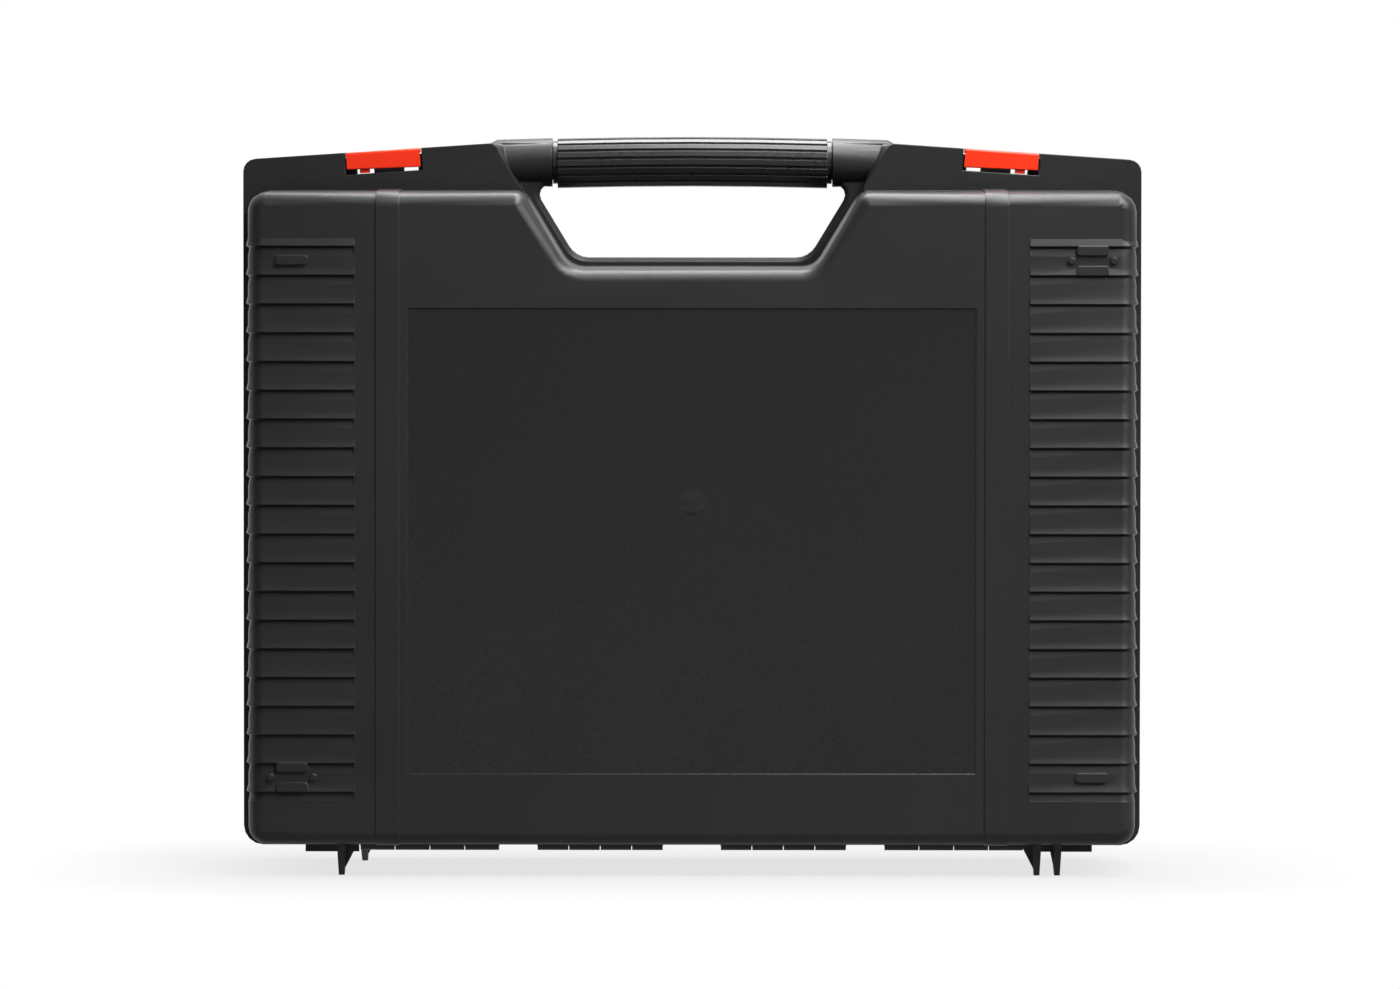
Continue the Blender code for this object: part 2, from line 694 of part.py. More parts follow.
def half_shell(name, rotation, is_lid, spots, finish, parts, cutters):
    """One moulded half: rim, body, ribs, handle frame, hinge knuckles and feet.

    The rear half is the same moulding turned half round, so its knuckles fall between the front ones.
    Only the spots of its feet and skirt differ.
    """
    groups = {
        step: new_collection(f"{name}_{step}", cutters)
        for step in ("frame_cut", "body", "panels", "mouldings", "hollows", "fittings", "bores")
    }
    rim = [across_y(rim_corners(), y) for y in (-RIM_DEPTH, OVERLAP)]
    shell = loft(name, rim, parts)
    shell.data.materials.append(finish)

    cuts = groups["frame_cut"]
    floor = -FRAME_DEPTH
    front = -RIM_DEPTH - OVERLAP
    bevel_rate = LEDGE_BEVEL / (RIM_DEPTH - FRAME_DEPTH)
    past = -bevel_rate * OVERLAP
    recess = [across_y(frame_corners(past), front), across_y(frame_corners(LEDGE_BEVEL), floor)]
    loft(f"{name}_recess", recess, cuts)
    flare = HOLE_LIP * (RIM_DEPTH + OVERLAP - FRAME_DEPTH + HOLE_LIP) / HOLE_LIP
    hole = [
        across_y(hole_corners(), 2 * OVERLAP),
        across_y(hole_corners(), floor + HOLE_LIP),
        across_y(inset(hole_corners(), -flare), front),
    ]
    loft(f"{name}_hole", hole, cuts)

    loft(f"{name}_body", body_sections(0, FACE_FILLET, -WALL), groups["body"])
    mouldings = groups["mouldings"]
    for side, label in ((-1, "left"), (1, "right")):
        rib_panel(f"{name}_rib_panel_{label}", side, groups["panels"])
        rib_bank(f"{name}_ribs_{label}", side, mouldings)
        strap(f"{name}_strap_{label}", side * STRAP_X, mouldings)
        socket(f"{name}_socket_{label}", side, mouldings)
    bridge = SOCKET_END + OVERLAP
    loft(f"{name}_bridge", [half_disc(x, GRIP_CORE) for x in (-bridge, bridge)], mouldings)
    stacking_keys(name, mouldings)
    foot(f"{name}_single_foot", -(CASE_HALF - SINGLE_FOOT_INSET), GUSSET_WIDE, mouldings)
    foot(f"{name}_pair_inner_foot", spots["pair"], GUSSET_WIDE, mouldings)
    foot(f"{name}_pair_outer_foot", spots["pair"] + PAIR_SPACING, GUSSET_NARROW, mouldings)
    box(
        f"{name}_skirt",
        (-spots["skirt"][1], -SKIRT_DEPTH, BODY_BOTTOM - SKIRT_DROP),
        (-spots["skirt"][0], OVERLAP, BODY_BOTTOM),
        mouldings,
    )

    hollows = groups["hollows"]
    box(
        f"{name}_parting",
        (-CASE_WIDTH, -HALF_GAP, -OVERLAP),
        (CASE_WIDTH, HALF_DEPTH, ABOVE),
        hollows,
    )
    loft(f"{name}_cavity", body_sections(WALL, INNER_FILLET, 2 * OVERLAP), hollows)
    for side, label in ((-1, "left"), (1, "right")):
        pocket = pocket_corners() if side > 0 else mirrored(pocket_corners())
        rows = [across_y(pocket, y) for y in (-RIM_DEPTH + WALL, 2 * OVERLAP)]
        loft(f"{name}_pocket_{label}", rows, hollows)
        latch_notch(f"{name}_notch_{label}", side, hollows)
    box(
        f"{name}_label",
        (-LABEL_HALF, FACE_Y - OVERLAP, BODY_BOTTOM + LABEL_BELOW),
        (LABEL_HALF, FACE_Y + LABEL_DEPTH, BODY_TOP - LABEL_ABOVE),
        hollows,
    )
    for start, end in knuckle_spans(1):
        place = along_x((start + end) / 2, 0, HINGE_Z)
        cylinder(f"{name}_knuckle_room", HINGE_RADIUS + KNUCKLE_GAP, end - start, place, hollows)
    swing = math.hypot(SKIRT_DEPTH, SKIRT_DROP - HINGE_DROP) + KNUCKLE_GAP
    start, end = spots["other_skirt"]
    place = along_x((start + end) / 2, 0, HINGE_Z)
    cylinder(f"{name}_skirt_room", swing, end - start + KNUCKLE_GAP, place, hollows)

    fittings = groups["fittings"]
    for index, span in enumerate(knuckle_spans(0)):
        knuckle(f"{name}_knuckle_{index}", span, fittings)
    for side, label in ((-1, "left"), (1, "right")):
        if is_lid:
            catch_block(f"{name}_catch_{label}", side, fittings)
        else:
            pin_lug(f"{name}_lug_{label}", side, side, LATCH_LUG, fittings)
            pin_lug(f"{name}_boss_{label}", -side, side, LATCH_BOSS, fittings)

    bores = groups["bores"]
    for start, end in hinge_groups():
        place = along_x((start + end) / 2, 0, HINGE_Z)
        cylinder(f"{name}_hinge_bore", HINGE_PIN + PIN_CLEARANCE, end - start + OVERLAP, place, bores)
    if not is_lid:
        turned = rotation.inverted()
        for side in (-1, 1):
            place = turned @ latch_pivot(side) @ Matrix.Rotation(math.pi / 2, 4, "Y")
            length = LATCH_NOTCH + 2 * WALL + OVERLAP
            cylinder(f"{name}_latch_bore", LATCH_PIN + PIN_CLEARANCE, length, place, bores)

    for step, operation in (
        ("frame_cut", "DIFFERENCE"),
        ("body", "UNION"),
        ("panels", "DIFFERENCE"),
        ("mouldings", "UNION"),
        ("hollows", "DIFFERENCE"),
        ("fittings", "UNION"),
        ("bores", "DIFFERENCE"),
    ):
        for tool in groups[step].objects:
            tool.matrix_world = rotation
        combine(shell, operation, groups[step])
    shell.matrix_world = rotation
    return shell


def grip_half(name, rotation, finish, parts):
    """Half of the fluted grip sleeve, slightly arched, with a plain neck at each end."""
    fluted = GRIP_LENGTH / 2
    margin = math.radians(1)
    span = (math.pi - 2 * margin) / FLUTES
    neck = GRIP_RADIUS - NECK_STEP
    inner = GRIP_CORE + SEAT_GAP
    slope = (1 - FLUTE_LAND) / 3
    shares = ((0.0, 0), (FLUTE_LAND, 0), (FLUTE_LAND + slope, 1), (1 - slope, 1))
    outer = []
    for flute in range(FLUTES):
        for share, is_groove in shares[: 2 if flute == FLUTES - 1 else 4]:
            shift = (1 - FLUTE_LAND) / 2 * span
            angle = math.pi / 2 + margin + shift + (flute + share) * span
            outer.append((angle, GRIP_RADIUS - is_groove * FLUTE_DEPTH))
    outer.insert(0, (math.pi / 2 + margin, GRIP_RADIUS - FLUTE_DEPTH))
    outer.append((3 * math.pi / 2 - margin, GRIP_RADIUS - FLUTE_DEPTH))
    back = [math.pi * 3 / 2 - margin - (math.pi - 2 * margin) * i / FLUTES for i in range(FLUTES + 1)]

    def section(x, is_neck):
        arch = 0.0 if is_neck else GRIP_ARCH * (0.5 - (x / fluted) ** 2)
        loop = [(angle, neck if is_neck else radius, GRIP_Z + arch) for angle, radius in outer]
        loop += [(angle, inner, GRIP_Z) for angle in back]
        return [(x, r * math.cos(a), z + r * math.sin(a)) for a, r, z in loop]

    left = [(-NECK_END, True), (-fluted, True), (-fluted, False), (-fluted / 2, False)]
    right = [(-x, is_neck) for x, is_neck in reversed(left)]
    rows = left + [(0.0, False)] + right
    grip = loft(name, [section(x, is_neck) for x, is_neck in rows], parts)
    grip.data.materials.append(finish)
    grip.matrix_world = rotation
    return grip


def latch(name, side, finish, parts, cutters):
    """Snap latch: front plate, cover over the rim, pivot barrel and a leg beside the catch."""
    half = LATCH_WIDTH / 2
    soft = LATCH_PLATE / 4
    barrel_front = LATCH_PIVOT_Y - LATCH_BARREL
    cover_end = barrel_front - SEAT_GAP

    def profile(x):
        drop = LATCH_DROP + LATCH_TAPER * (0.5 - side * x / LATCH_WIDTH)
        return [
            (PLATE_FRONT, -drop, soft),
            (PLATE_BACK, -drop, soft),
            (PLATE_BACK, -LATCH_PLATE, soft),
            (cover_end, -LATCH_PLATE, 0),
            (cover_end, 0, soft),
            (PLATE_FRONT, 0, 2 * soft),
        ]

    made = loft(name, [across_x(profile(x), x) for x in (-half, half)], parts)
    made.data.transform(latch_frame(side))
    made.data.materials.append(finish)

    additions = new_collection(f"{name}_additions", cutters)
    leg_x = sorted((side * LATCH_LEG_INNER, side * (LATCH_LEG_INNER + LATCH_LEG_WIDTH)))
    box(
        f"{name}_leg",
        (leg_x[0], PLATE_BACK - LATCH_PLATE / 2, -LATCH_FLOOR + SEAT_GAP),
        (leg_x[1], PLATE_BACK + LATCH_LEG_DEPTH, -LATCH_PLATE / 2),
        additions,
    )
    barrel_low = -LATCH_PIVOT_DROP - LATCH_BARREL
    back = LATCH_PIVOT_Y + LATCH_BARREL
    round_low = LATCH_BARREL * 0.9
    barrel = [
        (barrel_front, barrel_low, round_low),
        (back, barrel_low, round_low),
        (back, -SEAT_GAP, 2 * soft),
        (cover_end - LATCH_PLATE, -SEAT_GAP, 0),
        (cover_end - LATCH_PLATE, -LATCH_PLATE + SEAT_GAP, 0),
        (barrel_front, -LATCH_PLATE + SEAT_GAP, 0),
    ]
    lug_end = LATCH_NOTCH / 2 - LATCH_LUG - SEAT_GAP
    boss_end = LATCH_NOTCH / 2 - LATCH_BOSS - SEAT_GAP
    barrel_x = sorted((-side * boss_end, side * lug_end))
    loft(f"{name}_barrel", [across_x(barrel, x) for x in barrel_x], additions)
    for piece in additions.objects:
        piece.data.transform(latch_frame(side))
    combine(made, "UNION", additions)

    bore = new_collection(f"{name}_bore", cutters)
    place = latch_pivot(side) @ Matrix.Rotation(math.pi / 2, 4, "Y")
    cylinder(f"{name}_pin_bore", LATCH_PIN + PIN_CLEARANCE, LATCH_WIDTH + OVERLAP, place, bore)
    combine(made, "DIFFERENCE", bore)
    return made


def main():
    clear_scene()
    root = bpy.context.scene.collection
    parts = new_collection("equipment_case", root)
    cutters = new_collection("equipment_case_cutters", root)
    shell_black = material("shell_plastic", BLACK, 0.45)
    grip_black = material("grip_plastic", GRIP_BLACK, 0.4)
    latch_red = material("latch_plastic", RED, 0.35)
    pin_steel = material("pin_steel", STEEL, 0.3, 1.0)

    lid_axis = joint_empty("lid_axis", Matrix.Translation((0, 0, HINGE_Z)), parts)
    front = Matrix.Identity(4)
    rear = Matrix.Rotation(math.pi, 4, "Z")
    front_spots = half_spots(FRONT_PAIR_INSET, FRONT_SKIRT_INSET, REAR_SKIRT_INSET)
    rear_spots = half_spots(REAR_PAIR_INSET, REAR_SKIRT_INSET, FRONT_SKIRT_INSET)
    lid = half_shell("front_shell", front, True, front_spots, shell_black, parts, cutters)
    hang_on(lid_axis, lid)
    hang_on(lid_axis, grip_half("front_grip", front, grip_black, parts))
    half_shell("rear_shell", rear, False, rear_spots, shell_black, parts, cutters)
    grip_half("rear_grip", rear, grip_black, parts)

    for index, (start, end) in enumerate(hinge_groups()):
        place = along_x((start + end) / 2, 0, HINGE_Z)
        pin = cylinder(f"hinge_pin_{index + 1}", HINGE_PIN, end - start, place, parts)
        pin.data.materials.append(pin_steel)

    for side, label in ((-1, "left"), (1, "right")):
        pivot = joint_empty(f"latch_axis_{label}", latch_pivot(side), parts)
        hang_on(pivot, latch(f"latch_{label}", side, latch_red, parts, cutters))
        place = latch_pivot(side) @ Matrix.Rotation(math.pi / 2, 4, "Y")
        length = LATCH_NOTCH + 2 * WALL - PARTING_GAP
        pin = cylinder(f"latch_pin_{label}", LATCH_PIN, length, place, parts)
        pin.data.materials.append(pin_steel)


main()
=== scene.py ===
"""Looks of the hard equipment case: finishes, fine surface detail, studio and camera."""

import math

import bpy
from mathutils import Euler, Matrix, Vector


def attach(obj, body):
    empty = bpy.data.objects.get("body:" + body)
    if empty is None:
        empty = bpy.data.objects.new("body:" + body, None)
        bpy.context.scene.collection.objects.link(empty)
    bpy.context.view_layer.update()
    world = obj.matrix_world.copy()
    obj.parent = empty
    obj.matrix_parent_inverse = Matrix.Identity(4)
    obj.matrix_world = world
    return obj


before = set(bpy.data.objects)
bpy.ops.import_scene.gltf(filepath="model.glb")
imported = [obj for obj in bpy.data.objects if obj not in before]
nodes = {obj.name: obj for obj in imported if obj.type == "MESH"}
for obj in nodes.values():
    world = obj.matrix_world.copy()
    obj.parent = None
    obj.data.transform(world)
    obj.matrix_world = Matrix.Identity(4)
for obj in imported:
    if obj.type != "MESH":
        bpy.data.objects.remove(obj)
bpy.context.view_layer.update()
scene = bpy.context.scene

# The camera stands almost square to the front face, a little above the grip
CAMERA_AT = (0.00344, -4.0, 0.33314)
CAMERA_PITCH = math.radians(2.4352)
CAMERA_ROLL = math.radians(0.0567)
CAMERA_FAR = 50
LENS = 236.02
SENSOR = 36.0

# Places on the shells, as in the solids
LABEL_HALF_X = 0.1222
LABEL_LOW = 0.0449
LABEL_HIGH = 0.2454
LABEL_Y = 0.0545
FACE_Y = 0.055
RIM_Y = 0.0131
BODY_HALF = 0.1917
BODY_LOW = 0.0135
BODY_TOP = 0.2956
BODY_CORNER = 0.0085
HOLE_HALF = 0.0507
HOLE_Z = 0.2664
HOLE_FRAME = 0.0037
HOLE_SLANT = math.radians(31.2)
NOTCH_TOP_CORNER = 0.007
NOTCH_LOW_CORNER = 0.010
WALL = 0.0025

# Patterns of moulded plastic: scales per metre, noise detail and roughness, and the spans that show
CLOUD_SCALE = 14.0
CLOUD_NOISE = (4.0, 0.6)
FINE_NOISE = (2.0, 0.6)
COARSE_PER_FINE = 0.25
COARSE_NOISE = (3.0, 0.55)
SCUFF_SCALE = (260.0, 260.0, 22.0)
SCUFF_TURN = (0.0, 0.35, 0.0)
SCUFF_NOISE = (4.0, 0.7)
SCUFF_SPAN = (0.62, 0.74)
SCUFF_PATCHES = (0.5, 0.62)
# Edge mask: rubbed wear, and a painted highlight where the edges are lightened
WEAR_AND_HIGHLIGHT_SPAN = (0.995, 0.85)
WEAR_AND_HIGHLIGHT_PATCHES = (0.35, 0.6, 0.3, 1.0)
EDGE_SAMPLES = 6

# Weights of the patterns in the plastic's colour, roughness and grain, and its gloss
CLOUD_TINT = 0.5
# Lighter edges: partly rubbed wear, partly a painted highlight
WEAR_AND_HIGHLIGHT_TINT = 0.25
SCUFF_TINT = 0.3
CLOUD_ROUGH = 0.4
COARSE_ROUGH = 0.6
WORN_ROUGH = -0.12
SCUFF_ROUGH = 0.1
ROUGH_SPAN = (0.3, 0.75)
COARSE_DEPTH = 0.7
GRAIN_STRENGTH = 0.5
PLAIN_GLOSS = 0.5
LATCH_GLOSS = 0.35

# The label panel is smoother and darker than the face, and the rim is darker
LABEL_TINT = -0.4
RIM_TINT = -0.45
LABEL_POLISH = -0.17
LABEL_GRAIN = 0.15

# Depth of the label's mask below its surface, and soft borders of the masks
LABEL_REACH = 0.0007
BORDER = 0.0001
DEPTH_BORDER = 0.00005

# Drawn wire
WIRE_SCALE = (40.0, 2600.0, 2600.0)
WIRE_DETAIL = 2.0
WIRE_COLOURS = ((0.42, 0.42, 0.43, 1), (0.6, 0.6, 0.61, 1))
WIRE_SPAN = (0.3, 0.7)
WIRE_ROUGH = (0.25, 0.42)
WIRE_STRENGTH = 0.2
WIRE_DEPTH = 0.00002

# Shading of the solids' rounded forms
SMOOTH_ANGLE = math.radians(38)
WELD_DISTANCE = 0.000002
FLAT_WEIGHT = 100

# Moulding mark on the label panel, as (radius, height) rings from its sunk edge to its middle
GATE_X = 0.0002
GATE_Z = 0.1628
GATE_TILT = 0.075
GATE_RINGS = (
    (0.0064, -0.0003),
    (0.0064, -0.00005),
    (0.0045, 0.00003),
    (0.0035, 0.00005),
    (0.0023, 0.00006),
    (0.001, 0.00006),
)
GATE_SIDES = 28
GATE_LOBES = 3
GATE_LOBE_SIZE = 0.05
GATE_LOBE_TURN = 0.7
GATE_SHARP = math.radians(30)

# Tongue round the mouth of the rear half
LIP_GAP = 0.0003
LIP_THICKNESS = 0.0012
LIP_NOSE = 0.0003
LIP_REACH = 0.0025
LIP_ROOT = 0.0035
LIP_CORNER_STEPS = 5
LIP_SHARP = math.radians(40)

# Studio light: strengths where 1 is white, bands in parts of a unit direction, and lamps in watts
SOFT_LIGHT = 0.12
ROOM_LIGHT = 0.04
SWEEP_EDGES = (-0.35, 0.35)
FAR_FLOOR = 0.8
FAR_FLOOR_BAND = (-0.2, -0.03, 0.04)
OVERHEAD_AT = (0.12, 0.04, 1.0)
OVERHEAD_AIM = (0.02, 0.0, 0.2)
OVERHEAD_SIZE = (1.2, 0.40)
OVERHEAD_WATTS = 16
SIDE_AT = (0.75, -0.75, 1.15)
SIDE_AIM = (0.25, -0.05, 0.36)
SIDE_SIZE = (1.0, 1.0)
SIDE_WATTS = 4.0
SIDE_SPREAD = math.radians(50)

# Pale floor: whole under the case, and fading into the white sweep round it
FLOOR_RADIUS = 2.2
FLOOR_SIDES = 64
FLOOR_CORE = (0.16, 0.04)
FLOOR_FADE = (0.0, 0.13)
FLOOR_WHITE = 0.75
FLOOR_MIRRORED = 0.35
FLOOR_ROUGH = 0.9
FLOOR_GLOSS = 0.1
FLOOR_BOUNCE = (0.05, 0.05, 0.05, 1)
FLOOR_PAPER = (0.3, 0.3, 0.3, 1)


# Node helpers


def node_material(name):
    made = bpy.data.materials.new(name)
    made.use_nodes = True
    tree = made.node_tree
    tree.nodes.clear()
    shader = tree.nodes.new("ShaderNodeBsdfPrincipled")
    output = tree.nodes.new("ShaderNodeOutputMaterial")
    tree.links.new(shader.outputs[0], output.inputs["Surface"])
    return made, tree, shader


def add(tree, kind, **values):
    """New node with its properties or inputs set."""
    node = tree.nodes.new(kind)
    for key, value in values.items():
        if hasattr(node, key):
            setattr(node, key, value)
        else:
            node.inputs[key].default_value = value
    return node


def noise(tree, vector, scale, detail, roughness=0.5):
    made = add(tree, "ShaderNodeTexNoise", Scale=scale, Detail=detail, Roughness=roughness)
    tree.links.new(vector, made.inputs["Vector"])
    return made.outputs["Fac"]


def stretched(tree, vector, scale, turn=(0.0, 0.0, 0.0)):
    made = add(tree, "ShaderNodeMapping", Scale=scale, Rotation=turn)
    tree.links.new(vector, made.inputs["Vector"])
    return made.outputs[0]


def math_node(tree, operation, first, second=None, clamp=False):
    made = add(tree, "ShaderNodeMath", operation=operation, use_clamp=clamp)
    for socket, value in zip(made.inputs, (first, second)):
        if value is None:
            continue
        if isinstance(value, (int, float)):
            socket.default_value = value
        else:
            tree.links.new(value, socket)
    return made.outputs[0]


def remap(tree, value, low, high, to_low=0.0, to_high=1.0):
    made = add(tree, "ShaderNodeMapRange")
    for socket, number in zip(list(made.inputs)[1:5], (low, high, to_low, to_high)):
        socket.default_value = number
    tree.links.new(value, made.inputs["Value"])
    return made.outputs["Result"]


def mixed_colour(tree, share, first, second):
    made = add(tree, "ShaderNodeMix", data_type="RGBA")
    tree.links.new(share, made.inputs["Factor"])
    made.inputs["A"].default_value = first
    made.inputs["B"].default_value = second
    return made.outputs["Result"]


def bump(tree, height, strength, distance, normal=None):
    made = add(tree, "ShaderNodeBump", Strength=strength, Distance=distance)
    tree.links.new(height, made.inputs["Height"])
    if normal is not None:
        tree.links.new(normal, made.inputs["Normal"])
    return made.outputs["Normal"]


def within(tree, value, low, high, soft):
    """1 where low < value < high, with soft ends."""
    rise = remap(tree, value, low - soft, low + soft)
    fall = remap(tree, value, high - soft, high + soft, 1.0, 0.0)
    return math_node(tree, "MULTIPLY", rise, fall)


def weighted(tree, *terms):
    """Sum of (value, weight) pairs."""
    total = None
    for value, weight in terms:
        part = math_node(tree, "MULTIPLY", value, weight)
        total = part if total is None else math_node(tree, "ADD", total, part)
    return total


def split(tree, vector):
    made = add(tree, "ShaderNodeSeparateXYZ")
    tree.links.new(vector, made.inputs[0])
    return made.outputs


# Finishes


def edge_wear_and_highlight(tree, radius):
    """Softened normal, and a mask that is bright where the surface turns over an edge, for rubbed wear and
    for a painted highlight along edges.
    """
    bevel = add(tree, "ShaderNodeBevel", samples=EDGE_SAMPLES)
    bevel.inputs["Radius"].default_value = radius
    flat = add(tree, "ShaderNodeNewGeometry").outputs["Normal"]
    dot = add(tree, "ShaderNodeVectorMath", operation="DOT_PRODUCT")
    tree.links.new(bevel.outputs["Normal"], dot.inputs[0])
    tree.links.new(flat, dot.inputs[1])
    return bevel.outputs["Normal"], remap(tree, dot.outputs["Value"], *WEAR_AND_HIGHLIGHT_SPAN)


def shell_masks(tree, place):
    """Masks of the sunk label panel and of the rim."""
    x, y, z = split(tree, place)
    depth = math_node(tree, "ABSOLUTE", y)
    label = within(tree, x, -LABEL_HALF_X, LABEL_HALF_X, BORDER)
    label = math_node(tree, "MULTIPLY", label, within(tree, z, LABEL_LOW, LABEL_HIGH, BORDER))
    sunk = within(tree, depth, LABEL_Y - LABEL_REACH, (LABEL_Y + FACE_Y) / 2, DEPTH_BORDER)
    label = math_node(tree, "MULTIPLY", label, sunk)
    rim = within(tree, depth, -RIM_Y, RIM_Y, BORDER)
    return label, rim


def moulded_plastic(
    name, colours, roughness, grain_scale, grain_depth, edge, on_shell=False, gloss=PLAIN_GLOSS
):
    """Moulded plastic: soft colour clouds, spark-eroded grain, faint scuffs, and softened, rubbed edges
    that are lightened in colour partly as a painted highlight.
    """
    made, tree, shader = node_material(name)
    shader.inputs["Specular IOR Level"].default_value = gloss
    place = add(tree, "ShaderNodeTexCoord").outputs["Object"]
    clouds = noise(tree, place, CLOUD_SCALE, *CLOUD_NOISE)
    fine = noise(tree, place, grain_scale, *FINE_NOISE)
    coarse = noise(tree, place, grain_scale * COARSE_PER_FINE, *COARSE_NOISE)
    streaks = noise(tree, stretched(tree, place, SCUFF_SCALE, SCUFF_TURN), 1.0, *SCUFF_NOISE)
    patches = remap(tree, clouds, *SCUFF_PATCHES)
    scuffs = math_node(tree, "MULTIPLY", remap(tree, streaks, *SCUFF_SPAN), patches)
    normal, worn_and_highlit = edge_wear_and_highlight(tree, edge)
    worn_and_highlit = math_node(tree, "MULTIPLY", worn_and_highlit, remap(tree, coarse, *WEAR_AND_HIGHLIGHT_PATCHES))
    # Edges are lightened in the colour: partly rubbed wear, partly a painted highlight
    tint = weighted(tree, (clouds, CLOUD_TINT), (worn_and_highlit, WEAR_AND_HIGHLIGHT_TINT), (scuffs, SCUFF_TINT))
    rough = weighted(
        tree, (clouds, CLOUD_ROUGH), (coarse, COARSE_ROUGH), (worn_and_highlit, WORN_ROUGH), (scuffs, SCUFF_ROUGH)
    )
    rough = remap(tree, rough, *ROUGH_SPAN, *roughness)
    grain = weighted(tree, (fine, 1.0), (coarse, COARSE_DEPTH))
    if on_shell:
        label, rim = shell_masks(tree, place)
        tint = weighted(tree, (tint, 1.0), (label, LABEL_TINT), (rim, RIM_TINT))
        rough = weighted(tree, (rough, 1.0), (label, LABEL_POLISH))
        grain = math_node(tree, "MULTIPLY", grain, remap(tree, label, 0.0, 1.0, 1.0, LABEL_GRAIN))
    tint = math_node(tree, "ADD", tint, 0.0, clamp=True)
    tree.links.new(mixed_colour(tree, tint, *colours), shader.inputs["Base Color"])
    tree.links.new(rough, shader.inputs["Roughness"])
    tree.links.new(bump(tree, grain, GRAIN_STRENGTH, grain_depth, normal), shader.inputs["Normal"])
    return made


def wire_steel(name):
    """Drawn wire: fine lines along the pin."""
    made, tree, shader = node_material(name)
    shader.inputs["Metallic"].default_value = 1.0
    place = add(tree, "ShaderNodeTexCoord").outputs["Object"]
    lines = noise(tree, stretched(tree, place, WIRE_SCALE), 1.0, WIRE_DETAIL)
    tree.links.new(mixed_colour(tree, lines, *WIRE_COLOURS), shader.inputs["Base Color"])
    tree.links.new(remap(tree, lines, *WIRE_SPAN, *WIRE_ROUGH), shader.inputs["Roughness"])
    tree.links.new(bump(tree, lines, WIRE_STRENGTH, WIRE_DEPTH), shader.inputs["Normal"])
    return made


def dress(names, material):
    for name in names:
        node = nodes[name]
        node.data.materials.clear()
        node.data.materials.append(material)


shell_look = moulded_plastic(
    "black_shell",
    colours=((0.011, 0.011, 0.0115, 1), (0.030, 0.030, 0.031, 1)),
    roughness=(0.35, 0.52),
    grain_scale=2600.0,
    grain_depth=0.00004,
    edge=0.0006,
    on_shell=True,
)
grip_look = moulded_plastic(
    "black_grip",
    colours=((0.013, 0.013, 0.0135, 1), (0.026, 0.026, 0.027, 1)),
    roughness=(0.25, 0.36),
    grain_scale=2200.0,
    grain_depth=0.00003,
    edge=0.0004,
)
latch_look = moulded_plastic(
    "red_latch",
    colours=((0.94, 0.030, 0.006, 1), (0.99, 0.052, 0.013, 1)),
    roughness=(0.30, 0.42),
    grain_scale=1500.0,
    grain_depth=0.00002,
    edge=0.0004,
    gloss=LATCH_GLOSS,
)
gate_look = moulded_plastic(
    "black_gate",
    colours=((0.016, 0.016, 0.0165, 1), (0.026, 0.026, 0.027, 1)),
    roughness=(0.22, 0.36),
    grain_scale=2600.0,
    grain_depth=0.00001,
    edge=0.0004,
)
dress(("front_shell", "rear_shell"), shell_look)
dress(("front_grip", "rear_grip"), grip_look)
dress(("latch_left", "latch_right"), latch_look)
dress([name for name in nodes if "_pin_" in name], wire_steel("pin_wire"))


# Smooth shading of the solids


def shade_by_angle():
    """Node group that welds a solid's facets and shades its rounded forms smooth, with sharp edges kept."""
    group = bpy.data.node_groups.new("shade_by_angle", "GeometryNodeTree")
    group.interface.new_socket("Geometry", in_out="INPUT", socket_type="NodeSocketGeometry")
    group.interface.new_socket("Geometry", in_out="OUTPUT", socket_type="NodeSocketGeometry")
    source = group.nodes.new("NodeGroupInput")
    target = group.nodes.new("NodeGroupOutput")
    weld = group.nodes.new("GeometryNodeMergeByDistance")
    weld.inputs["Distance"].default_value = WELD_DISTANCE
    edge_angle = group.nodes.new("GeometryNodeInputMeshEdgeAngle")
    compare = group.nodes.new("FunctionNodeCompare")
    compare.operation = "LESS_EQUAL"
    compare.inputs["B"].default_value = SMOOTH_ANGLE
    faces = group.nodes.new("GeometryNodeSetShadeSmooth")
    faces.domain = "FACE"
    edges = group.nodes.new("GeometryNodeSetShadeSmooth")
    edges.domain = "EDGE"
    link = group.links.new
    link(source.outputs[0], weld.inputs["Geometry"])
    link(weld.outputs[0], faces.inputs["Geometry"])
    link(faces.outputs[0], edges.inputs["Geometry"])
    link(edge_angle.outputs["Unsigned Angle"], compare.inputs["A"])
    link(compare.outputs["Result"], edges.inputs["Shade Smooth"])
    link(edges.outputs[0], target.inputs[0])
    return group


def soften(node, group):
    """Shades the facets of rounded forms smooth, with flat faces kept flat."""
    node.modifiers.new("shade", "NODES").node_group = group
    flats = node.modifiers.new("flats", "WEIGHTED_NORMAL")
    flats.keep_sharp = True
    flats.weight = FLAT_WEIGHT


shading = shade_by_angle()
for node in nodes.values():
    soften(node, shading)


# Pieces that the solids leave to the scene


def new_piece(name, verts, faces, sharp, material):
    """Smooth-shaded piece, with edges over an angle kept sharp."""
    mesh = bpy.data.meshes.new(name)
    mesh.from_pydata(verts, [], faces)
    mesh.shade_smooth()
    mesh.set_sharp_from_angle(angle=sharp)
    mesh.materials.append(material)
    piece = bpy.data.objects.new(name, mesh)
    scene.collection.objects.link(piece)
    return piece


